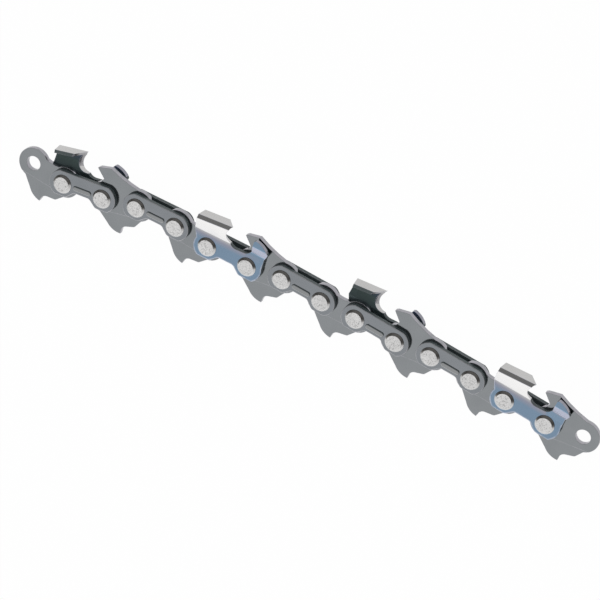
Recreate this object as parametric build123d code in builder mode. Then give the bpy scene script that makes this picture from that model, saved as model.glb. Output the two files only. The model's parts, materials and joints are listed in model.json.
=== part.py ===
"""A run of chainsaw chain lying on its side: drive links hinged by rivets between side plates."""

import os
from math import asin, ceil, cos, degrees, radians, sin

from build123d import *

# Driving dimensions, in millimetres and degrees
two_pitches = 19.05  # span of three rivets, which names a 3/8 inch chain
side_spacing = 10.33  # rivet to rivet on a side link
gauge = 1.27  # drive link thickness, which fits a 0.050 inch bar groove
plate = 1.1  # side plate thickness
side_gap = 0.04  # running clearance between a drive link and each side plate
start_angle = 6.0  # first side link against the X axis
rear_bend = 12.0  # first side link against the first drive link, at rivet 1
bends = (6.3, -12.3, -5.9, 5.4, 7.1, -9.9, 2.2, -3.6, 9.6, -9.6, -0.3, -0.4)  # at rivets 2 to 13
front_bend = 11.0  # last drive link against the last side link, at rivet 14
round_step = 22.5  # between the points of a link's end rounds, so that a long run stays light

# Rivets
hub_radius = 1.7  # turns in the drive link
hub_gap = 0.05  # running clearance round the hub
shank_radius = 1.35  # tight in the side plates
shank_sides = 10
head_radius = 2.3
head_sides = 16
head_height = 0.55
head_taper = 39.0  # slope of the spun head's flank

# Tie straps, with the foot and waist that cutters share
strap_top = 3.22
strap_end_radius = 3.4
strap_bottom = -2.95
foot_corner = 1.35  # foot's inner end, from its rivet
waist_corner = 3.2  # waist's end, from the nearer rivet
waist_height = -1.22
waist_radius = 1.2
bead_length = 4.7  # raised bead, pressed out from an oil pocket on the inner face
bead_width = 1.2
bead_height = 0.25
bead_corner = 0.35
bead_centre = 0.1  # above the rivet line
pocket_margin = 0.25  # the pocket is this much smaller than the bead all round

# Drive links
drive_end_radius = 3.8
saddle_angle = 45.0  # where the top saddle leaves the end rounds
saddle_height = 2.5
tang_angle = 75.0  # where the tang leaves the end rounds, below the rivet line
tang_knee = (1.2, -6.1)
tang_belly = (2.7, -7.45)
tang_tip = (4.6, -8.0)
tang_hook = (4.85, -6.8)
hook_throat = (5.2, -6.3)
hook_end = (5.95, -5.9)
lobe_corner = (8.1, -5.5)
lobe_radius = 0.8
bumper_root = 105.0  # angle on the rear end round where the bumper rises
bumper_notch = (-0.25, 4.6)
bumper_tip = (-1.95, 6.95)
bumper_back = (-1.45, 7.2)
bumper_crown = (1.5, 7.5)
bumper_ramp = (4.6, 5.6)

# Cutters
bend_height = 3.5  # where the side plate turns outwards
cutter_rear = -4.15
heel_angle = 159.0  # where the rear edge leaves the end round
blade_front = 5.1  # before grinding
blade_drop = 1.05  # how much lower the blade is at its rear, which clears the cut
flare_reach = 3.1  # outermost edge at the front of the blade, from the chain's middle plane
flare_height = 7.25
corner_reach = 2.7  # top plate's outer edge there
top_height = 8.25
top_plate_inner = -0.3  # top plate's free edge, just past the middle plane
top_plate_thickness = 0.9
file_centre = (7.0, 6.2)  # grinding round of right-hand cutters, on the outermost plane
file_set_back = 1.2  # left-hand cutters are ground this much further back
file_radius = 2.6
file_angle = 31.0  # top plate cutting angle
gullet_foot = (5.1, 3.5)
gullet_slope = (5.75, 3.03)
gullet_floor = (6.9, 2.87)
gullet_end = (8.9, 3.0)
gullet_rise = (9.95, 3.55)
gauge_neck = (10.4, 4.3)  # where the depth gauge steps outwards
gauge_ledge = 5.5  # top of that step
gauge_step = 0.9
gauge_back = (10.5, 7.25)
gauge_top = (10.9, 7.55)
gauge_slope = (12.85, 6.85)
gauge_nose = (14.4, 5.4)
gauge_foot = 14.1  # front of the depth gauge at its neck
gauge_throat = (13.75, 3.6)
front_radius = 3.65
front_angle = 16.5  # where the front edge meets the front round

# Derived dimensions
drive_spacing = two_pitches - side_spacing
inner_face = gauge / 2 + side_gap
outer_face = inner_face + plate
flare_slope = (flare_reach - outer_face) / (flare_height - bend_height)
gauge_front = (gauge_foot, gauge_neck[1])
near, far = 1, -1


def polar(radius, angle, x=0.0):
    return (x + radius * cos(radians(angle)), radius * sin(radians(angle)))


def round_points(radius, start, end, x=0.0):
    """Points round a rivet from one angle to another, about a round step apart."""
    steps = ceil(abs(end - start) / round_step)
    return [polar(radius, start + (end - start) * i / steps, x) for i in range(steps + 1)]


def mirrored(points):
    """The same points at the other end of a side link, in the opposite order."""
    return [(side_spacing - x, y) for x, y in reversed(points)]


def moved_plane(link, x, y=0.0, z=0.0):
    return Plane(origin=link.from_local_coords((x, y, z)), x_dir=link.x_dir, z_dir=link.z_dir)


def foot_angle(radius):
    """Angle below the rivet line at which an end round reaches the foot."""
    return degrees(asin(-strap_bottom / radius))


def foot_and_waist(foot_start, foot_end):
    """Underside of a side plate, from the rear foot's end to the front one's."""
    half = [(foot_corner, strap_bottom), (waist_corner, waist_height)]
    FilletPolyline(foot_start, *half, *mirrored(half), foot_end, radius=waist_radius)


def tie_strap(link, side, name):
    top_angle = degrees(asin(strap_top / strap_end_radius))
    rear_round = round_points(strap_end_radius, 180 - top_angle, 180 + foot_angle(strap_end_radius))
    front_round = mirrored(rear_round)
    with BuildPart() as strap:
        with BuildSketch(link.offset(side * inner_face)):
            with BuildLine():
                Polyline(*front_round, *rear_round)
                foot_and_waist(rear_round[-1], front_round[0])
            make_face()
            with Locations((0, 0), (side_spacing, 0)):
                RegularPolygon(shank_radius, shank_sides, mode=Mode.SUBTRACT)
        extrude(amount=side * plate)
        with BuildSketch(moved_plane(link, side_spacing / 2, bead_centre, side * outer_face)) as bead:
            Rectangle(bead_length, bead_width)
            chamfer(bead.vertices(), bead_corner)
        extrude(amount=side * bead_height)
        with BuildSketch(moved_plane(link, side_spacing / 2, bead_centre, side * inner_face)):
            Rectangle(bead_length - 2 * pocket_margin, bead_width - 2 * pocket_margin)
        extrude(amount=side * bead_height, mode=Mode.SUBTRACT)
    strap.part.label = name
    return strap.part


def drive_link(link, name, bumper):
    rear_start = bumper_root if bumper else saddle_angle
    front_end = 90.0 if bumper else 180.0 - saddle_angle
    rear_round = round_points(drive_end_radius, rear_start, 180.0 + tang_angle)
    front_round = round_points(drive_end_radius, -tang_angle, front_end, drive_spacing)
    rear_top, front_top = rear_round[0], front_round[-1]
    with BuildPart() as drive:
        with BuildSketch(link.offset(-gauge / 2)):
            with BuildLine():
                Polyline(*rear_round, tang_knee)
                ThreePointArc(tang_knee, tang_belly, tang_tip)
                Line(tang_tip, tang_hook)
                ThreePointArc(tang_hook, hook_throat, hook_end)
                FilletPolyline(hook_end, lobe_corner, front_round[0], radius=lobe_radius)
                Polyline(*front_round)
                if bumper:
                    Polyline(rear_top, bumper_notch, bumper_tip, bumper_back, bumper_crown)
                    ThreePointArc(bumper_crown, bumper_ramp, front_top)
                else:
                    ThreePointArc(rear_top, (drive_spacing / 2, saddle_height), front_top)
            make_face()
            with Locations((0, 0), (drive_spacing, 0)):
                Circle(hub_radius + hub_gap, mode=Mode.SUBTRACT)
        extrude(amount=gauge)
    drive.part.label = name
    return drive.part


def blade_section(side):
    """Folded section at the front of the blade: flared side plate, bevelled corner and top plate."""
    root = bend_height - plate / 2
    under = top_height - top_plate_thickness
    outline = (
        (root, outer_face + flare_slope * (root - bend_height)),
        (flare_height, flare_reach),
        (top_height, corner_reach),
        (top_height, top_plate_inner),
        (under, top_plate_inner),
        (under, inner_face + flare_slope * (under - bend_height)),
        (root, inner_face + flare_slope * (root - bend_height)),
    )
    Polyline(*[(y, side * z) for y, z in outline], close=True)


def gauge_section(side):
    """Section across the depth gauge, stepped outwards above its neck."""
    inner, outer = side * inner_face, side * outer_face
    step = side * gauge_step
    top = gauge_top[1] + plate
    neck = gauge_neck[1]
    high_side = ((top, inner + step), (top, outer + step))
    Polyline((gauge_ledge, inner + step), *high_side, (gauge_ledge, outer + step))
    Polyline((gauge_ledge, outer + step), (neck, outer), (neck, inner), (gauge_ledge, inner + step))


def across_plane(link, x):
    """Plane square to a link, with its X axis towards the top plates and its Y axis along the rivets."""
    return Plane(origin=link.from_local_coords((x, 0, 0)), x_dir=link.y_dir, z_dir=link.x_dir)


def cutter(link, side, name):
    rear_round = round_points(strap_end_radius, heel_angle, 180 + foot_angle(strap_end_radius))
    front_round = round_points(front_radius, -foot_angle(front_radius), front_angle, side_spacing)
    bend_line = link.from_local_coords((0, bend_height, 0))
    bend_plane = Plane(origin=bend_line, x_dir=link.x_dir, z_dir=link.y_dir)
    blade_fall = link.y_dir + link.z_dir * side * flare_slope
    blade_run = link.x_dir * (cutter_rear - blade_front) - blade_fall * blade_drop
    file_x = file_centre[0] if side == near else file_centre[0] - file_set_back
    file_plane = Plane(
        origin=link.from_local_coords((file_x, file_centre[1], side * flare_reach)),
        z_dir=link.x_dir * -sin(radians(file_angle)) + link.z_dir * -side * cos(radians(file_angle)),
    )

    with BuildPart() as tooth:
        with BuildSketch(across_plane(link, blade_front)):
            with BuildLine():
                blade_section(side)
            make_face()
        extrude(amount=blade_run.length, dir=blade_run.normalized())
        split(bisect_by=bend_plane, keep=Keep.TOP)
        with BuildSketch(link.offset(side * inner_face)):
            with BuildLine():
                Polyline(gullet_foot, (cutter_rear, bend_height), *rear_round)
                foot_and_waist(rear_round[-1], front_round[0])
                Polyline(*front_round, gauge_throat, gauge_front, gauge_neck)
                ThreePointArc(gauge_neck, gullet_rise, gullet_end)
                Line(gullet_end, gullet_floor)
                ThreePointArc(gullet_floor, gullet_slope, gullet_foot)
            make_face()
            with Locations((0, 0), (side_spacing, 0)):
                RegularPolygon(shank_radius, shank_sides, mode=Mode.SUBTRACT)
        extrude(amount=side * plate)
        with BuildPart():
            with BuildSketch(across_plane(link, gauge_neck[0])):
                with BuildLine():
                    gauge_section(side)
                make_face()
            extrude(amount=gauge_nose[0] - gauge_neck[0])
            with BuildSketch(link):
                with BuildLine():
                    Polyline(gauge_front, gauge_neck, gauge_back, gauge_top)
                    ThreePointArc(gauge_top, gauge_slope, gauge_nose)
                    Line(gauge_nose, gauge_front)
                make_face()
            extrude(amount=side * flare_reach, mode=Mode.INTERSECT)
        with BuildSketch(file_plane):
            Circle(file_radius)
        extrude(amount=2 * flare_reach, both=True, mode=Mode.SUBTRACT)
    tooth.part.label = name
    return tooth.part


def rivet(link, x, name):
    """Stepped pin: a round hub turns in the drive link, with a tight shank and a spun head at each end."""
    middle = moved_plane(link, x)
    with BuildPart() as pin:
        with BuildSketch(middle):
            Circle(hub_radius)
        extrude(amount=inner_face)
        with BuildSketch(middle.offset(inner_face)):
            RegularPolygon(shank_radius, shank_sides)
        extrude(amount=plate)
        with BuildSketch(middle.offset(outer_face)):
            RegularPolygon(head_radius, head_sides)
        extrude(amount=head_height, taper=head_taper)
        mirror(about=middle)
    pin.part.label = name
    return pin.part


def link_plane(place, angle):
    return Plane(origin=place, x_dir=(cos(radians(angle)), sin(radians(angle)), 0), z_dir=(0, 0, 1))


# Link planes, each with its origin on its rear rivet, walking along the chain from its left end
link = link_plane((0, 0, 0), start_angle)
side_links = [link]
drive_links = [moved_plane(link_plane((0, 0, 0), start_angle - rear_bend), -drive_spacing)]
angle = start_angle
for number, bend in enumerate(bends):
    on_side_link = number % 2 == 0
    spacing = side_spacing if on_side_link else drive_spacing
    angle += bend
    link = link_plane(link.from_local_coords((spacing, 0, 0)), angle)
    (drive_links if on_side_link else side_links).append(link)
drive_links.append(link_plane(link.from_local_coords((side_spacing, 0, 0)), angle + front_bend))

# Pieces: cutters sit on alternate sides of every other side link, with a bumper link ahead of each
cutter_sides = {0: far, 2: near, 4: far, 6: near}
pieces = []
counts = {}


def numbered(name):
    counts[name] = counts.get(name, 0) + 1
    return f"{name}_{counts[name]}"


for number, link in enumerate(side_links):
    for side, hand in ((near, "right"), (far, "left")):
        if cutter_sides.get(number) == side:
            pieces.append(cutter(link, side, numbered(f"{hand}_cutter")))
        else:
            pieces.append(tie_strap(link, side, numbered(f"{hand}_tie_strap")))
    for x in (0, side_spacing):
        pieces.append(rivet(link, x, numbered("rivet")))
for number, link in enumerate(drive_links):
    bumper = number % 2 == 1
    pieces.append(drive_link(link, numbered("bumper_drive_link" if bumper else "drive_link"), bumper))

# The finished run stands on the floor with its box centred on the origin
box = Compound(pieces).bounding_box()
home = Location((-box.center().X, -box.center().Y, -box.min.Z))
os.makedirs("parts", exist_ok=True)
for piece in pieces:
    placed = piece.moved(home)
    placed.label = piece.label
    export_step(placed, f"parts/{placed.label}.step")
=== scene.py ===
import json
from math import acos, asin, atan2, cos, degrees, hypot, pi, radians, sin

import bmesh
import bpy
from mathutils import Matrix, Vector


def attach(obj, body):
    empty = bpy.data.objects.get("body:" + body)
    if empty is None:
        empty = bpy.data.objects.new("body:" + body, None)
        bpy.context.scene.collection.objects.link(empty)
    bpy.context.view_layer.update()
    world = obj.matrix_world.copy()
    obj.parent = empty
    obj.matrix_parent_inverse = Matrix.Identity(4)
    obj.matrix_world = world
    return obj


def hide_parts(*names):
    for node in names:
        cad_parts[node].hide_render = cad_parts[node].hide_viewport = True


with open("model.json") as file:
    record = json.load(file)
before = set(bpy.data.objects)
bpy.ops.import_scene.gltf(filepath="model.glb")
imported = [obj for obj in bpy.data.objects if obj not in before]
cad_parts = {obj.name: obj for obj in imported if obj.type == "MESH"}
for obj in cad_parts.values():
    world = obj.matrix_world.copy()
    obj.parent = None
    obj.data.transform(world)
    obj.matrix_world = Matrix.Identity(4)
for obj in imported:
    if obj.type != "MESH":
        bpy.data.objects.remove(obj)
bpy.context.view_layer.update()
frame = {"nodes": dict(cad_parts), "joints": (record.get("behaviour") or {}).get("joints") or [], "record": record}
scene = bpy.context.scene
record = frame["record"]
bodyOf = {node: body for body, nodes in record["behaviour"]["bodies"].items() for node in nodes}
mm = 0.001  # pieces are drawn in millimetres on their own link
print("frame loaded:", len(frame["nodes"]), "nodes")

# where the links lie, read from the hinges and the free end holes
hinge = {int(joint["name"].split("_")[-1]): Vector(joint["pos_m"]) for joint in frame["joints"]}
endHole = {mount["name"]: Vector(mount["pos_m"]) for mount in record["mounts"]}
rivetPlaces = [hinge[number] for number in sorted(hinge)]
holeRow = [endHole["rear_rivet_hole"], *rivetPlaces, endHole["front_rivet_hole"]]
for place in holeRow:
    place.z = rivetPlaces[0].z


def linkMatrix(rear, front):
    along = (front - rear).normalized()
    up = Vector((0, 0, 1))
    turn = Matrix((along, up.cross(along), up)).transposed().to_4x4()
    return Matrix.Translation(rear) @ turn @ Matrix.Scale(mm, 4)


driveMatrices = [linkMatrix(holeRow[i], holeRow[i + 1]) for i in range(0, len(holeRow), 2)]
sideMatrices = [linkMatrix(holeRow[i], holeRow[i + 1]) for i in range(1, len(holeRow) - 1, 2)]
sideSpacing = (rivetPlaces[1] - rivetPlaces[0]).length / mm
driveSpacing = (rivetPlaces[2] - rivetPlaces[1]).length / mm
middle = Matrix.Diagonal((1, 1, -1, 1))  # mirrors a near plate to the far side

chain = dict(gauge=1.27, plate=1.1, gap=0.04, edgeRound=0.11, rimSteps=2, arcStep=6.0,
             hair=0.01, merge=0.0005, weld=0.001)  # small distances that tell points apart
innerFace = chain["gauge"] / 2 + chain["gap"]
outerFace = innerFace + chain["plate"]


def clamped(value):
    return max(0.0, min(1.0, value))


# outlines

def arc(centre, radius, start, end):
    steps = max(2, round(abs(end - start) / chain["arcStep"]))
    angles = [radians(start + (end - start) * i / steps) for i in range(steps + 1)]
    return [(centre[0] + radius * cos(a), centre[1] + radius * sin(a)) for a in angles]


def arcThrough(a, b, c):
    (ax, ay), (bx, by), (cx, cy) = a, b, c
    d = 2 * (ax * (by - cy) + bx * (cy - ay) + cx * (ay - by))
    sa, sb, sc = ax * ax + ay * ay, bx * bx + by * by, cx * cx + cy * cy
    x = (sa * (by - cy) + sb * (cy - ay) + sc * (ay - by)) / d
    y = (sa * (cx - bx) + sb * (ax - cx) + sc * (bx - ax)) / d
    start, end = (degrees(atan2(p[1] - y, p[0] - x)) for p in (a, c))
    side = (bx - ax) * (cy - ay) - (by - ay) * (cx - ax)  # above nought for an anticlockwise arc
    if side > 0 and end < start:
        end += 360
    if side < 0 and end > start:
        end -= 360
    return arc((x, y), hypot(ax - x, ay - y), start, end)


def corner(before, point, after, radius):
    before, point, after = Vector(before), Vector(point), Vector(after)
    u, v = (before - point).normalized(), (after - point).normalized()
    half = acos(max(-1, min(1, u.dot(v)))) / 2
    centre = point + (u + v).normalized() * radius / sin(half)
    reach = radius * cos(half) / sin(half)
    a, c = point + u * reach, point + v * reach
    b = centre + (point - centre).normalized() * radius
    return arcThrough(tuple(a), tuple(b), tuple(c))


def circle(radius, x):
    return arc((x, 0), radius, 0, 360)[:-1]


def slotOutline(length, width, x, y):
    reach = (length - width) / 2
    return arc((x - reach, y), width / 2, 90, 270) + arc((x + reach, y), width / 2, -90, 90)


# flat curves give plates with holes and rounded rims

def plateMesh(name, loops, low, high, edgeRound):
    curve = bpy.data.curves.new(name, "CURVE")
    curve.dimensions = "2D"
    curve.fill_mode = "BOTH"
    for loop in loops:
        spline = curve.splines.new("POLY")
        spline.points.add(len(loop) - 1)
        spline.use_cyclic_u = True
        for point, (x, y) in zip(spline.points, loop):
            point.co = (x, y, 0, 1)
    curve.extrude = (high - low) / 2 - edgeRound
    curve.bevel_depth = edgeRound
    curve.bevel_resolution = chain["rimSteps"]
    curve.offset = -edgeRound  # the rim rounds inwards
    maker = bpy.data.objects.new(name, curve)
    mesh = bpy.data.meshes.new_from_object(maker)
    bpy.data.objects.remove(maker)
    mesh.transform(Matrix.Translation((0, 0, (high + low) / 2)))
    bm = bmesh.new()
    bm.from_mesh(mesh)
    bmesh.ops.remove_doubles(bm, verts=bm.verts, dist=chain["merge"])
    bmesh.ops.recalc_face_normals(bm, faces=bm.faces)
    bm.to_mesh(mesh)
    bm.free()
    return mesh


def combine(mesh, toolMesh, operation):
    base = bpy.data.objects.new("base", mesh)
    tool = bpy.data.objects.new("tool", toolMesh)
    for made in (base, tool):
        scene.collection.objects.link(made)
    joined = base.modifiers.new("joined", "BOOLEAN")
    joined.object = tool
    joined.operation = operation
    joined.solver = "EXACT"
    bpy.context.view_layer.update()
    graph = bpy.context.evaluated_depsgraph_get()
    result = bpy.data.meshes.new_from_object(base.evaluated_get(graph))
    for made in (base, tool):
        bpy.data.objects.remove(made)
    return result


def cutAcross(bm, faces, height):
    parts = {part for face in faces for part in (*face.verts, *face.edges)}
    bmesh.ops.bisect_plane(bm, geom=[*parts, *faces], plane_co=(0, height, 0), plane_no=(0, 1, 0))


# tie straps

strap = dict(top=3.22, bottom=-2.95, endRadius=3.4, holeRadius=1.35, footCorner=1.35,
             waistCorner=3.2, waistHeight=-1.22, waistRadius=1.2,  # the dip between the feet
             beadLength=4.7, beadWidth=1.2, beadHeight=0.25, beadRound=0.2, beadRise=0.1, beadSunk=0.4,
             pocketMargin=0.25, pocketRun=1.0,  # the hollow behind the bead
             beadShade=0.35, wallSlope=0.3)  # faces past these slopes get painted shade
strapFinishes = ["strapSteel", "beadSteel", "paintedShadeEdge"]


def footAndWaist(start, end):
    half = [(strap["footCorner"], strap["bottom"]), (strap["waistCorner"], strap["waistHeight"])]
    corners = [start, *half, *[(sideSpacing - x, y) for x, y in reversed(half)], end]
    points = []
    for before, point, after in zip(corners, corners[1:], corners[2:]):
        points += corner(before, point, after, strap["waistRadius"])
    return points


def strapMesh():
    topAngle = degrees(asin(strap["top"] / strap["endRadius"]))
    footAngle = degrees(asin(-strap["bottom"] / strap["endRadius"]))
    rear = arc((0, 0), strap["endRadius"], 180 - topAngle, 180 + footAngle)
    front = [(sideSpacing - x, y) for x, y in reversed(rear)]
    outline = rear + footAndWaist(rear[-1], front[0]) + front
    holes = [circle(strap["holeRadius"], x) for x in (0, sideSpacing)]
    mesh = plateMesh("strap", [outline, *holes], innerFace, outerFace, chain["edgeRound"])
    crown, margin = outerFace + strap["beadHeight"], 2 * strap["pocketMargin"]
    place = (sideSpacing / 2, strap["beadRise"])
    bead = slotOutline(strap["beadLength"], strap["beadWidth"], *place)
    bead = plateMesh("bead", [bead], outerFace - strap["beadSunk"], crown, strap["beadRound"])
    mesh = combine(mesh, bead, "UNION")
    pocket = slotOutline(strap["beadLength"] - margin, strap["beadWidth"] - margin, *place)
    pocket = plateMesh("pocket", [pocket], innerFace - strap["pocketRun"],
                       innerFace + strap["beadHeight"], chain["edgeRound"])
    mesh = combine(mesh, pocket, "DIFFERENCE")  # the bead is pressed out from inside
    for face in mesh.polygons:
        raised = face.center.z > outerFace + chain["hair"]
        # the bead's upward faces and the plate's walls get painted shade
        shaded = face.normal.y > strap["beadShade"] if raised else face.normal.z < strap["wallSlope"]
        look = "paintedShadeEdge" if shaded else "beadSteel" if raised else "strapSteel"
        face.material_index = strapFinishes.index(look)
    return mesh


# drive links

drive = dict(endRadius=3.8, holeRadius=1.75, edgeRound=0.06,
             saddleAngle=45, saddleHeight=2.5,  # the dip on top of a plain link
             tangAngle=75, tangKnee=(1.2, -6.1), tangBelly=(2.7, -7.45), tangTip=(4.6, -8.0),
             tangHook=(4.85, -6.8), hookThroat=(5.2, -6.3), hookEnd=(5.95, -5.9),
             lobeCorner=(8.1, -5.5), lobeRadius=0.8,
             bumperRoot=105, bumperNotch=(-0.25, 4.6), bumperTip=(-1.95, 6.95), bumperBack=(-1.45, 7.2),
             bumperCrown=(1.5, 7.5), bumperRamp=(4.6, 5.6),
             stepHeight=-3.0, stepRun=0.25, stepDepth=0.08)  # the tang is a shade thinner
driveFinishes = ["driveSteel"]


def driveMesh(bumper):
    radius = drive["endRadius"]
    rearStart = drive["bumperRoot"] if bumper else drive["saddleAngle"]
    frontEnd = 90 if bumper else 180 - drive["saddleAngle"]
    rear = arc((0, 0), radius, rearStart, 180 + drive["tangAngle"])
    front = arc((driveSpacing, 0), radius, -drive["tangAngle"], frontEnd)
    outline = rear + arcThrough(drive["tangKnee"], drive["tangBelly"], drive["tangTip"])
    outline += arcThrough(drive["tangHook"], drive["hookThroat"], drive["hookEnd"])
    outline += corner(drive["hookEnd"], drive["lobeCorner"], front[0], drive["lobeRadius"])
    outline += front
    if bumper:
        outline += arcThrough(front[-1], drive["bumperRamp"], drive["bumperCrown"])[1:]
        outline += [drive["bumperBack"], drive["bumperTip"], drive["bumperNotch"]]
    else:
        outline += arcThrough(front[-1], (driveSpacing / 2, drive["saddleHeight"]), rear[0])[1:-1]
    holes = [circle(drive["holeRadius"], x) for x in (0, driveSpacing)]
    half = chain["gauge"] / 2
    mesh = plateMesh("drive", [outline, *holes], -half, half, drive["edgeRound"])
    bm = bmesh.new()
    bm.from_mesh(mesh)
    stepFoot = drive["stepHeight"] - drive["stepRun"]
    for height in (drive["stepHeight"], stepFoot):
        cutAcross(bm, bm.faces[:], height)
    for vert in bm.verts:
        if vert.co.y < stepFoot + chain["weld"]:
            vert.co.z *= 1 - drive["stepDepth"] / half
    bm.to_mesh(mesh)
    bm.free()
    return mesh


# rivets, spun from half a section

# the last three numbers place the painted shade on the rivet's flank
rivet = dict(hub=1.7, shank=1.35, head=2.3, headTop=1.9, headHeight=0.55, rimRound=0.08, rimDrop=0.6,
             steps=48, faceSlope=0.95, paintedShadeSide=(-0.156, 0.988), paintedShadeFrom=0.1, paintedShadeTo=0.4)
rivetFinishes = ["rivetSteel", "rivetFlank"]


def rivetMesh():
    top = outerFace + rivet["headHeight"]
    rim = rivet["rimRound"]
    section = [(0, top), (rivet["headTop"] - rim, top), (rivet["headTop"], top - rim * rivet["rimDrop"]),
               (rivet["head"], outerFace + rim), (rivet["head"] - rim, outerFace),
               (rivet["shank"], outerFace), (rivet["shank"], innerFace),
               (rivet["hub"], innerFace), (rivet["hub"], 0)]
    bm = bmesh.new()
    verts = [bm.verts.new((r, 0, z)) for r, z in section]
    edges = [bm.edges.new(pair) for pair in zip(verts, verts[1:])]
    bmesh.ops.spin(bm, geom=verts + edges, cent=(0, 0, 0), axis=(0, 0, 1), angle=2 * pi,
                   steps=rivet["steps"], use_merge=True)
    geom = bm.verts[:] + bm.edges[:] + bm.faces[:]
    bmesh.ops.mirror(bm, geom=geom, axis="Z", merge_dist=chain["weld"])
    bmesh.ops.remove_doubles(bm, verts=bm.verts, dist=chain["weld"])
    bmesh.ops.recalc_face_normals(bm, faces=bm.faces)
    for face in bm.faces:
        look = "rivetSteel" if abs(face.normal.z) > rivet["faceSlope"] else "rivetFlank"
        face.material_index = rivetFinishes.index(look)
    tint = bm.verts.layers.float.new("tint")
    for vert in bm.verts:  # painted shade darkens the flank on the side of the top plates
        facing = vert.co.xy.normalized().dot(Vector(rivet["paintedShadeSide"]))
        vert[tint] = clamped((facing - rivet["paintedShadeFrom"]) / (rivet["paintedShadeTo"] - rivet["paintedShadeFrom"]))
    mesh = bpy.data.meshes.new("rivet")
    bm.to_mesh(mesh)
    bm.free()
    return mesh


# cutters keep the solid's own folds, with their edges broken

cutter = dict(bend=3.5, topFrom=5.5, insideTop=7.6, reach=3.1, rearLean=0.1,  # side plate and top plate
              frontRadius=3.65, endCuts=3, endSlack=0.02, endChord=0.3,  # rounded ends
              groundLean=0.3, groundFront=7.0, groundBase=4.5, frontFace=5.0,  # ground cutting face
              gaugeRear=9.4, gaugeTip=5.2, gaugeRound=0.24, gaugeSteps=3, filedLean=0.2,  # depth gauge
              neck=4.3, ledge=5.5, step=0.9, easedNeck=3.95, easedLedge=5.95,  # the gauge's pressed step
              softFold=0.45, foldSteps=4, flat=1.0, foldFrom=8, sharp=28,  # folds, angles in degrees
              edgeRound=0.08, edgeSteps=2, tiny=0.03,  # broken edges
              edgeOn=0.5, facingIn=0.98, level=0.999, straight=0.95,  # how a face or an edge lies
              margin=0.3, marginTop=2.4, marginWear=0.75,  # worn line inside the outline, partly a painted highlight
              tintFrom=1.6, tintTo=3.7, creaseTint=0.5, creaseInset=0.1)  # colours graded with height: grey on top, violet at the fold, blue on the side plate
cutterFinishes = ["tintedChrome", "groundSteel", "paintedShadeInside", "paintedShadeEdge", "filedSteel"]


def facesOf(bm, look):
    index = cutterFinishes.index(look)
    return [face for face in bm.faces if face.material_index == index]


def edgesLike(bm, along, low, high):
    found = []
    for edge in bm.edges:
        if len(edge.link_faces) != 2 or not radians(low) < edge.calc_face_angle() < radians(high):
            continue
        run = (edge.verts[0].co - edge.verts[1].co).normalized()
        if along is None or abs(run[along]) > cutter["straight"]:
            found.append(edge)
    return found


def bevelEdges(bm, edges, offset, segments, held=True):
    made = bmesh.ops.bevel(bm, geom=edges, offset=offset, affect="EDGES", segments=segments, profile=0.5,
                           material=-1, clamp_overlap=held)
    return made["faces"]


def mergeTiny(bm):  # slivers left by one bevel would hold back the next
    bmesh.ops.remove_doubles(bm, verts=bm.verts, dist=cutter["tiny"])
    bmesh.ops.dissolve_degenerate(bm, dist=cutter["tiny"], edges=bm.edges)
    bm.normal_update()


def roundEnds(bm):  # many-sided ends become true rounds
    for x, radius in ((0, strap["endRadius"]), (sideSpacing, cutter["frontRadius"])):
        onRound = {vert for vert in bm.verts
                   if abs(hypot(vert.co.x - x, vert.co.y) - radius) < cutter["endSlack"]}
        chords = [edge for edge in bm.edges
                  if set(edge.verts) <= onRound and edge.calc_length() > cutter["endChord"]
                  and abs(edge.verts[0].co.z - edge.verts[1].co.z) < chain["hair"]]
        made = bmesh.ops.subdivide_edges(bm, edges=chords, cuts=cutter["endCuts"], use_grid_fill=True)
        for vert in made["geom_inner"]:
            if isinstance(vert, bmesh.types.BMVert):
                spread = radius / hypot(vert.co.x - x, vert.co.y)
                vert.co.x, vert.co.y = x + (vert.co.x - x) * spread, vert.co.y * spread
    bm.normal_update()


def easeCrease(bm, side):  # the depth gauge's step is pressed with soft folds
    low, high = cutter["easedNeck"], cutter["easedLedge"]
    for height in (low, high):
        faces = [face for face in bm.faces if face.calc_center_median().x > cutter["gaugeRear"]]
        cutAcross(bm, faces, height)
    for vert in bm.verts:
        if vert.co.x < 0 and vert.co.y > cutter["topFrom"]:  # the top plate's rear is cut at a slant
            vert.co.x += cutter["rearLean"] * (cutter["reach"] - vert.co.z * side)
        if vert.co.x < cutter["gaugeRear"] or not low < vert.co.y < high:
            continue
        before = (vert.co.y - cutter["neck"]) / (cutter["ledge"] - cutter["neck"])
        after = (vert.co.y - low) / (high - low)
        vert.co.z += side * cutter["step"] * (after - clamped(before))
    bm.normal_update()
    limit = radians(cutter["flat"])
    flat = [edge for edge in bm.edges if edge.is_manifold and edge.calc_face_angle() < limit]
    bmesh.ops.dissolve_edges(bm, edges=flat, use_verts=True)
    bm.normal_update()


def markFaces(bm, side):  # chrome outside, painted shade inside and on edge-on faces, bare steel where it was cut
    for face in bm.faces:
        place, normal = face.calc_center_median(), face.normal
        outward = normal.z * side
        edgeOn = abs(outward) < cutter["edgeOn"]
        onGauge = place.x > cutter["gaugeRear"]
        cutting = normal.x > cutter["groundLean"] and place.x < cutter["groundFront"]
        look = "paintedShadeInside" if outward < -cutter["edgeOn"] else "tintedChrome"
        # edge-on, inward and front faces get painted shade
        if onGauge or place.y < cutter["bend"]:
            look = "paintedShadeEdge" if edgeOn else look
        elif outward < -cutter["facingIn"] or place.x > cutter["frontFace"]:
            look = "paintedShadeEdge"
        if cutting and place.y > cutter["groundBase"]:
            look = "groundSteel"
        if onGauge and edgeOn and place.y > cutter["easedLedge"] and normal.y > cutter["filedLean"]:
            look = "filedSteel"
        face.material_index = cutterFinishes.index(look)


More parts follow.
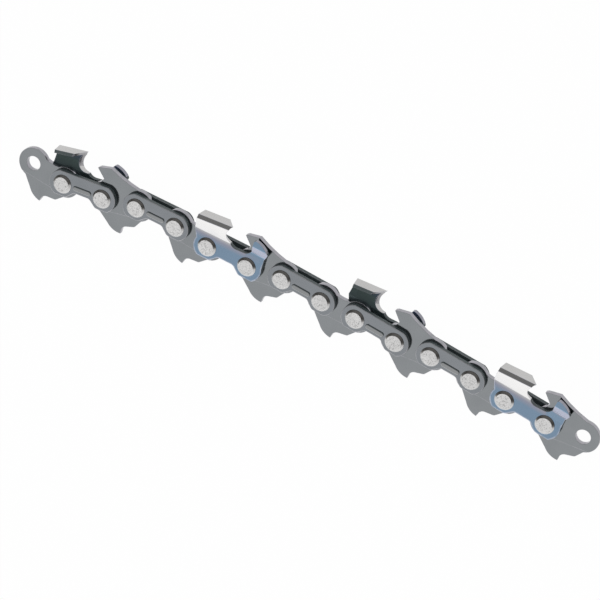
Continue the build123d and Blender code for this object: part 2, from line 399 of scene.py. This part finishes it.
def drawMargin(bm, rim):  # a pale line follows the outline of the flat face: partly wear, partly a painted highlight
    flat = [face for face in facesOf(bm, "tintedChrome") if abs(face.normal.z) > cutter["level"]
            and face.calc_center_median().y < cutter["bend"]]
    highest = cutter["marginTop"] + chain["hair"]
    for height in (cutter["marginTop"], cutter["tintFrom"]):
        cutAcross(bm, flat, height)
        flat = [face for face in facesOf(bm, "tintedChrome") if abs(face.normal.z) > cutter["level"]
                and max(vert.co.y for vert in face.verts) < highest]
    made = bmesh.ops.inset_region(bm, faces=flat, thickness=cutter["margin"], use_even_offset=True)
    for face in made["faces"]:
        around = [other for edge in face.edges for other in edge.link_faces]
        atWall = min(abs(other.normal.z) for other in around) < cutter["edgeOn"]
        face[rim] = cutter["marginWear"] if atWall else 0.0


# grey on top, violet at the fold and the gauge's crease, blue lower down
def tintVerts(bm, tint):
    inside = cutterFinishes.index("paintedShadeInside")
    for vert in bm.verts:
        rise = (cutter["tintTo"] - vert.co.y) / (cutter["tintTo"] - cutter["tintFrom"])
        # the painted shade on the inner faces grades with height
        if any(face.material_index == inside for face in vert.link_faces):
            rise = (vert.co.y - cutter["bend"]) / (cutter["insideTop"] - cutter["bend"])
        elif vert.co.x > cutter["gaugeRear"]:
            above = vert.co.y > cutter["easedNeck"] + cutter["creaseInset"]
            below = vert.co.y < cutter["easedLedge"] - cutter["creaseInset"]
            rise = cutter["creaseTint"] if above and below else 1.0
        vert[tint] = clamped(rise)


def cutterMesh(node, toLink, side):
    bm = bmesh.new()
    bm.from_mesh(frame["nodes"][node].data)
    rim = bm.faces.layers.float.new("rim")
    tint = bm.verts.layers.float.new("tint")
    bmesh.ops.transform(bm, matrix=toLink, verts=bm.verts)
    bmesh.ops.remove_doubles(bm, verts=bm.verts, dist=chain["weld"])
    bmesh.ops.dissolve_limit(bm, angle_limit=radians(cutter["flat"]), verts=bm.verts, edges=bm.edges)
    roundEnds(bm)
    easeCrease(bm, side)
    markFaces(bm, side)
    folds = edgesLike(bm, 0, cutter["foldFrom"], cutter["sharp"])  # they run along the plate
    bevelEdges(bm, folds, cutter["softFold"], cutter["foldSteps"])
    mergeTiny(bm)
    drawMargin(bm, rim)
    filed = {edge for face in facesOf(bm, "filedSteel") for edge in face.edges}
    filed = [edge for edge in edgesLike(bm, None, cutter["sharp"], 180) if edge in filed]
    bevelEdges(bm, filed, cutter["gaugeRound"], cutter["gaugeSteps"])
    mergeTiny(bm)
    edges = [edge for edge in edgesLike(bm, None, cutter["sharp"], 180) if not any(
        vert.co.x > cutter["gaugeRear"] and vert.co.y > cutter["gaugeTip"] for vert in edge.verts)]
    # the rounded edges get wear and a painted highlight
    for face in bevelEdges(bm, edges, cutter["edgeRound"], cutter["edgeSteps"], held=False):
        face[rim] = 1.0
    for vert in bm.verts:
        if vert.co.y < cutter["groundBase"]:  # no small corner stands past the plate's inner face
            vert.co.z = side * max(innerFace, vert.co.z * side)
    tintVerts(bm, tint)
    mesh = bpy.data.meshes.new(node)
    bm.to_mesh(mesh)
    bm.free()
    return mesh


# finishes

grainLook = dict(grain=3000, grainDetail=3, cloud=220, cloudDetail=4, bumpDepth=0.0002)
wearAndHighlightLook = dict(breakup=900, low=0.2, high=0.55)
speckLook = dict(size=2600, detail=2, distortion=1.5, low=0.5, high=0.68)


def newGroup(name, inputs, outputs):
    group = bpy.data.node_groups.new(name, "ShaderNodeTree")
    for label, value in inputs:
        socket = group.interface.new_socket(label, in_out="INPUT", socket_type="NodeSocketFloat")
        socket.default_value = value
    for label in outputs:
        group.interface.new_socket(label, in_out="OUTPUT", socket_type="NodeSocketFloat")
    return group, group.nodes.new("NodeGroupInput"), group.nodes.new("NodeGroupOutput")


def noiseOn(group, scale, detail=2, distortion=0):
    place = group.nodes.new("ShaderNodeTexCoord")
    noise = group.nodes.new("ShaderNodeTexNoise")
    noise.inputs["Detail"].default_value = detail
    noise.inputs["Distortion"].default_value = distortion
    group.links.new(place.outputs["Object"], noise.inputs["Vector"])
    group.links.new(scale, noise.inputs["Scale"])
    return noise.outputs["Fac"]


def stretched(group, value, low, high):
    spread = group.nodes.new("ShaderNodeMapRange")
    spread.inputs["From Min"].default_value = low
    spread.inputs["From Max"].default_value = high
    group.links.new(value, spread.inputs["Value"])
    return spread.outputs["Result"]


def product(group, first, second):
    node = group.nodes.new("ShaderNodeMath")
    node.operation = "MULTIPLY"
    group.links.new(first, node.inputs[0])
    group.links.new(second, node.inputs[1])
    return node.outputs[0]


def tumbledGrain():
    inputs = [("Grain Scale", grainLook["grain"]), ("Cloud Scale", grainLook["cloud"])]
    group, given, result = newGroup("tumbledGrain", inputs, ["Grain", "Cloud"])
    for label, detail in (("Grain", grainLook["grainDetail"]), ("Cloud", grainLook["cloudDetail"])):
        noise = noiseOn(group, given.outputs[label + " Scale"], detail)
        group.links.new(noise, result.inputs[label])
    return group


# pale rims: partly edge wear, partly a painted highlight
def rimWear():
    inputs = [("Breakup", wearAndHighlightLook["breakup"]), ("Strength", 1)]
    group, given, result = newGroup("rimWear", inputs, ["Wear"])
    noise = noiseOn(group, given.outputs["Breakup"])
    patchy = stretched(group, noise, wearAndHighlightLook["low"], wearAndHighlightLook["high"])
    rim = group.nodes.new("ShaderNodeAttribute")
    rim.attribute_name = "rim"
    wornAndHighlight = product(group, patchy, rim.outputs["Fac"])
    group.links.new(product(group, wornAndHighlight, given.outputs["Strength"]), result.inputs["Wear"])
    return group


def fineSpecks():
    inputs = [("Size", speckLook["size"]), ("Strength", 1)]
    group, given, result = newGroup("fineSpecks", inputs, ["Specks"])
    noise = noiseOn(group, given.outputs["Size"], speckLook["detail"], speckLook["distortion"])
    specks = stretched(group, noise, speckLook["low"], speckLook["high"])
    group.links.new(product(group, specks, given.outputs["Strength"]), result.inputs["Specks"])
    return group


grainGroup = tumbledGrain()
wearAndHighlightGroup = rimWear()
speckGroup = fineSpecks()

finishes = {
    "driveSteel": dict(dark=(0.235, 0.25, 0.26), light=(0.285, 0.298, 0.31), wornAndHighlight=(0.4, 0.38, 0.42),
                       metallic=1.0, rough=(0.09, 0.15), bump=0.015, wearAndHighlight=0.8),
    "strapSteel": dict(dark=(0.22, 0.235, 0.25), light=(0.265, 0.28, 0.3), wornAndHighlight=(0.42, 0.4, 0.42),
                       metallic=1.0, rough=(0.15, 0.23), bump=0.012, wearAndHighlight=0.8),
    "beadSteel": dict(dark=(0.25, 0.26, 0.265), light=(0.3, 0.305, 0.31), wornAndHighlight=(0.42, 0.4, 0.42),
                      metallic=1.0, rough=(0.17, 0.25), bump=0.012, wearAndHighlight=0.6),
    # painted shade for edges and walls
    "paintedShadeEdge": dict(dark=(0.05, 0.07, 0.073), light=(0.07, 0.093, 0.096), wornAndHighlight=(0.3, 0.3, 0.32),
                        metallic=0.15, rough=(0.35, 0.5), bump=0.03, wearAndHighlight=0.6),
    "tintedChrome": dict(dark=(0.9, 0.9, 0.9), light=(1, 1, 1), wornAndHighlight=(0.55, 0.55, 0.62),
                         metallic=1.0, rough=(0.16, 0.22), bump=0.008, wearAndHighlight=0.6,
                         tint=((0, (0.54, 0.535, 0.53)), (0.45, (0.31, 0.32, 0.39)),
                               (1, (0.207, 0.295, 0.4)))),
    "groundSteel": dict(dark=(0.3, 0.296, 0.304), light=(0.39, 0.385, 0.4), wornAndHighlight=(0.4, 0.42, 0.55),
                        metallic=0.9, rough=(0.2, 0.32), bump=0.02, wearAndHighlight=0.6),
    "filedSteel": dict(dark=(0.25, 0.25, 0.29), light=(0.34, 0.34, 0.385), wornAndHighlight=(0.3, 0.3, 0.34),
                       metallic=0.8, rough=(0.2, 0.3), bump=0.02, wearAndHighlight=0.3),
    # painted shade for the cutters' inner faces, bluer higher up
    "paintedShadeInside": dict(dark=(0.9, 0.9, 0.9), light=(1, 1, 1), wornAndHighlight=(0.2, 0.23, 0.3),
                       metallic=0.5, rough=(0.25, 0.35), bump=0.01, wearAndHighlight=0.5,
                       tint=((0, (0.07, 0.1, 0.105)), (0.45, (0.1, 0.145, 0.14)),
                             (1, (0.095, 0.13, 0.24)))),
    # the flank runs from bright to a painted shade on the side of the top plates
    "rivetFlank": dict(dark=(0.9, 0.9, 0.9), light=(1, 1, 1), wornAndHighlight=(0.6, 0.6, 0.6),
                       metallic=0.5, rough=(0.14, 0.22), bump=0.01, wearAndHighlight=0.0,
                       tint=((0, (0.72, 0.715, 0.71)), (0.5, (0.3, 0.29, 0.28)),
                             (1, (0.12, 0.115, 0.11)))),
    "rivetSteel": dict(dark=(0.64, 0.635, 0.63), light=(0.82, 0.815, 0.81), wornAndHighlight=(0.85, 0.84, 0.83),
                       metallic=0.75, rough=(0.28, 0.42), bump=0.1, wearAndHighlight=0.3,
                       specks=0.9, pit=(0.33, 0.33, 0.33)),
}


def fillRamp(ramp, stops):
    ramp.color_ramp.elements[0].color = (*stops[0][1], 1)
    ramp.color_ramp.elements[1].color = (*stops[-1][1], 1)
    for position, colour in stops[1:-1]:
        ramp.color_ramp.elements.new(position).color = (*colour, 1)


def groupNode(nodes, group):
    node = nodes.new("ShaderNodeGroup")
    node.node_tree = group
    return node


def colourMix(nodes):
    node = nodes.new("ShaderNodeMix")
    node.data_type = "RGBA"
    return node


def makeFinish(name, look):
    material = bpy.data.materials.new(name)
    material.use_nodes = True
    nodes, links = material.node_tree.nodes, material.node_tree.links
    shader = nodes["Principled BSDF"]
    shader.inputs["Metallic"].default_value = look["metallic"]
    grain = groupNode(nodes, grainGroup)
    wearAndHighlight = groupNode(nodes, wearAndHighlightGroup)
    wearAndHighlight.inputs["Strength"].default_value = look["wearAndHighlight"]
    tone = colourMix(nodes)
    tone.inputs["A"].default_value = (*look["dark"], 1)
    tone.inputs["B"].default_value = (*look["light"], 1)
    links.new(grain.outputs["Cloud"], tone.inputs["Factor"])
    if "tint" in look:  # colours graded along the cutter's fold, painted shade graded on its inner faces, or painted shade on a rivet's flank
        tint = nodes.new("ShaderNodeAttribute")
        tint.attribute_name = "tint"
        colour = nodes.new("ShaderNodeValToRGB")
        fillRamp(colour, look["tint"])
        links.new(tint.outputs["Fac"], colour.inputs["Fac"])
        tinted = colourMix(nodes)
        tinted.blend_type = "MULTIPLY"
        tinted.inputs["Factor"].default_value = 1
        links.new(colour.outputs["Color"], tinted.inputs["A"])
        links.new(tone.outputs["Result"], tinted.inputs["B"])
        tone = tinted
    if "specks" in look:  # small pits and scuffs
        specks = groupNode(nodes, speckGroup)
        specks.inputs["Strength"].default_value = look["specks"]
        pitted = colourMix(nodes)
        pitted.inputs["B"].default_value = (*look["pit"], 1)
        links.new(specks.outputs["Specks"], pitted.inputs["Factor"])
        links.new(tone.outputs["Result"], pitted.inputs["A"])
        tone = pitted
    # the rims' wear and painted highlight
    wornAndHighlight = colourMix(nodes)
    wornAndHighlight.inputs["B"].default_value = (*look["wornAndHighlight"], 1)
    links.new(wearAndHighlight.outputs["Wear"], wornAndHighlight.inputs["Factor"])
    links.new(tone.outputs["Result"], wornAndHighlight.inputs["A"])
    links.new(wornAndHighlight.outputs["Result"], shader.inputs["Base Color"])
    rough = nodes.new("ShaderNodeMapRange")
    rough.inputs["To Min"].default_value, rough.inputs["To Max"].default_value = look["rough"]
    links.new(grain.outputs["Grain"], rough.inputs["Value"])
    links.new(rough.outputs["Result"], shader.inputs["Roughness"])
    bump = nodes.new("ShaderNodeBump")
    bump.inputs["Strength"].default_value = look["bump"]
    bump.inputs["Distance"].default_value = grainLook["bumpDepth"]
    links.new(grain.outputs["Grain"], bump.inputs["Height"])
    links.new(bump.outputs["Normal"], shader.inputs["Normal"])
    return material


finish = {name: makeFinish(name, look) for name, look in finishes.items()}
print("finishes made:", len(finish))


# pieces

shade = dict(flatNormal=0.995, wallNormal=0.1, stripWidth=0.3, rimWidth=0.05, sharpAngle=38, wallWear=0.8)


def shadeForm(mesh, wallWear, rimTop=float("inf")):
    bm = bmesh.new()
    bm.from_mesh(mesh)
    rim = bm.faces.layers.float.get("rim")
    rimKnown = rim is not None
    if not rimKnown:
        rim = bm.faces.layers.float.new("rim")
    bmesh.ops.remove_doubles(bm, verts=bm.verts, dist=chain["merge"])
    bmesh.ops.dissolve_degenerate(bm, dist=chain["merge"], edges=bm.edges)
    bm.normal_update()
    for face in bm.faces:
        width = face.calc_area() / face.calc_perimeter()  # rounded rims are thin strips
        leaning = abs(face.normal.z) < shade["flatNormal"]
        face.smooth = leaning and width < shade["stripWidth"]
        if rimKnown or face.calc_center_median().z > rimTop:
            continue
        # rims and walls get wear and a painted highlight
        face[rim] = 1.0 if leaning and width < shade["rimWidth"] else 0.0
        if abs(face.normal.z) < shade["wallNormal"]:
            face[rim] = wallWear
    for edge in bm.edges:
        edge.smooth = len(edge.link_faces) == 2 and edge.calc_face_angle() < radians(shade["sharpAngle"])
    bm.to_mesh(mesh)
    bm.free()


def addPiece(name, mesh, matrix, node, looks):
    mesh.transform(matrix)
    if matrix.determinant() < 0:
        mesh.flip_normals()
    mesh.name = name
    for look in looks:
        mesh.materials.append(finish[look])
    piece = bpy.data.objects.new(name, mesh)
    scene.collection.objects.link(piece)
    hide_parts(node)
    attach(piece, bodyOf[node])


strapForm = strapMesh()
driveForms = {False: driveMesh(False), True: driveMesh(True)}
rivetForm = rivetMesh()
shadeForm(strapForm, 0.0, rimTop=outerFace + chain["hair"])  # the strap's painted-shade walls stay dark, with no wear or painted highlight
for form in (*driveForms.values(), rivetForm):
    shadeForm(form, shade["wallWear"])
for node, body in bodyOf.items():
    number = int(body.split("_")[-1]) - 1
    side = -1 if node.startswith("left") else 1
    flip = middle if side < 0 else Matrix.Identity(4)
    if "strap" in node:
        addPiece("plated_" + node, strapForm.copy(), sideMatrices[number] @ flip, node, strapFinishes)
    elif "cutter" in node:
        mesh = cutterMesh(node, sideMatrices[number].inverted(), side)
        shadeForm(mesh, 0.0)
        addPiece("plated_" + node, mesh, sideMatrices[number], node, cutterFinishes)
    elif "drive" in node:
        form = driveForms["bumper" in node]
        addPiece("stamped_" + node, form.copy(), driveMatrices[number], node, driveFinishes)
    else:
        along = sideSpacing if int(node.split("_")[-1]) % 2 == 0 else 0
        matrix = sideMatrices[number] @ Matrix.Translation((along, 0, 0))
        addPiece("spun_" + node, rivetForm.copy(), matrix, node, rivetFinishes)
print("pieces made:", len(bodyOf))


# floor, light and camera

stage = dict(floorSize=3.0, floorColour=(0.9, 0.9, 0.9), floorRough=0.8, floorGlow=0.985,
             keyPlace=(-0.35, -1.1, 0.55), keySize=(1.3, 0.7), keyPower=1.7,
             skyLevels=((0, 0.85), (0.2, 0.62), (0.34, 0.2), (0.4, 0.22), (0.55, 0.6), (0.75, 0.95),
                        (1, 1.2)))


def makeFloor():
    bm = bmesh.new()
    bmesh.ops.create_grid(bm, x_segments=1, y_segments=1, size=stage["floorSize"] / 2)
    mesh = bpy.data.meshes.new("floor")
    bm.to_mesh(mesh)
    bm.free()
    floor = bpy.data.objects.new("floor", mesh)
    scene.collection.objects.link(floor)
    material = bpy.data.materials.new("paleFloor")
    material.use_nodes = True
    nodes, links = material.node_tree.nodes, material.node_tree.links
    shader = nodes["Principled BSDF"]
    shader.inputs["Base Color"].default_value = (*stage["floorColour"], 1)
    shader.inputs["Roughness"].default_value = stage["floorRough"]
    glow = nodes.new("ShaderNodeEmission")
    path = nodes.new("ShaderNodeLightPath")
    seen = nodes.new("ShaderNodeMath")
    seen.operation = "MAXIMUM"
    links.new(path.outputs["Is Camera Ray"], seen.inputs[0])
    links.new(path.outputs["Is Glossy Ray"], seen.inputs[1])
    share = nodes.new("ShaderNodeMath")
    share.operation = "MULTIPLY"
    share.inputs[1].default_value = stage["floorGlow"]
    links.new(seen.outputs[0], share.inputs[0])
    mix = nodes.new("ShaderNodeMixShader")
    links.new(share.outputs[0], mix.inputs["Fac"])
    links.new(shader.outputs["BSDF"], mix.inputs[1])
    links.new(glow.outputs["Emission"], mix.inputs[2])
    links.new(mix.outputs["Shader"], nodes["Material Output"].inputs["Surface"])
    mesh.materials.append(material)


def makeWorld():  # a bright studio with one narrow dark band, which the steel mirrors
    world = bpy.data.worlds.new("studio")
    scene.world = world
    world.use_nodes = True
    nodes, links = world.node_tree.nodes, world.node_tree.links
    place = nodes.new("ShaderNodeTexCoord")
    split = nodes.new("ShaderNodeSeparateXYZ")
    links.new(place.outputs["Generated"], split.inputs["Vector"])
    toRamp = nodes.new("ShaderNodeMapRange")
    toRamp.inputs["From Min"].default_value = 1
    toRamp.inputs["From Max"].default_value = -1
    links.new(split.outputs["Y"], toRamp.inputs["Value"])
    ramp = nodes.new("ShaderNodeValToRGB")
    fillRamp(ramp, [(position, (level, level, level)) for position, level in stage["skyLevels"]])
    links.new(toRamp.outputs["Result"], ramp.inputs["Fac"])
    links.new(ramp.outputs["Color"], nodes["Background"].inputs["Color"])
    nodes["Background"].inputs["Strength"].default_value = 1.0


def makeKey():
    light = bpy.data.lights.new("softbox", "AREA")
    light.shape = "RECTANGLE"
    light.size, light.size_y = stage["keySize"]
    light.energy = stage["keyPower"]
    lamp = bpy.data.objects.new("softbox", light)
    lamp.location = stage["keyPlace"]
    lamp.rotation_euler = (-Vector(stage["keyPlace"])).to_track_quat("-Z", "Y").to_euler()
    scene.collection.objects.link(lamp)


view = dict(pastFirstRivet=(61.99, -0.67, 0), towards=(0.2232, 0.5, 0.8368), distance=565.5 * mm,
            roll=0.3265, focalPixels=2510, imagePixels=600, sensor=36.0, clipStart=0.01)


def makeCamera():
    camera = bpy.data.objects.new("camera", bpy.data.cameras.new("camera"))
    camera.data.sensor_width = view["sensor"]
    camera.data.lens = view["sensor"] * view["focalPixels"] / view["imagePixels"]
    camera.data.clip_start = view["clipStart"]
    back = Vector(view["towards"]).normalized()
    right = (-back).cross(Vector((0, 1, 0))).normalized()
    up = right.cross(-back)
    imageRight = cos(view["roll"]) * right + sin(view["roll"]) * up
    imageUp = back.cross(imageRight)
    place = rivetPlaces[0] + Vector(view["pastFirstRivet"]) * mm + back * view["distance"]
    turn = Matrix((imageRight, imageUp, back)).transposed().to_4x4()
    camera.matrix_world = Matrix.Translation(place) @ turn
    scene.collection.objects.link(camera)
    scene.camera = camera


makeFloor()
makeWorld()
makeKey()
makeCamera()
scene.view_settings.view_transform = "Standard"
print("stage ready")

bpy.context.view_layer.update()
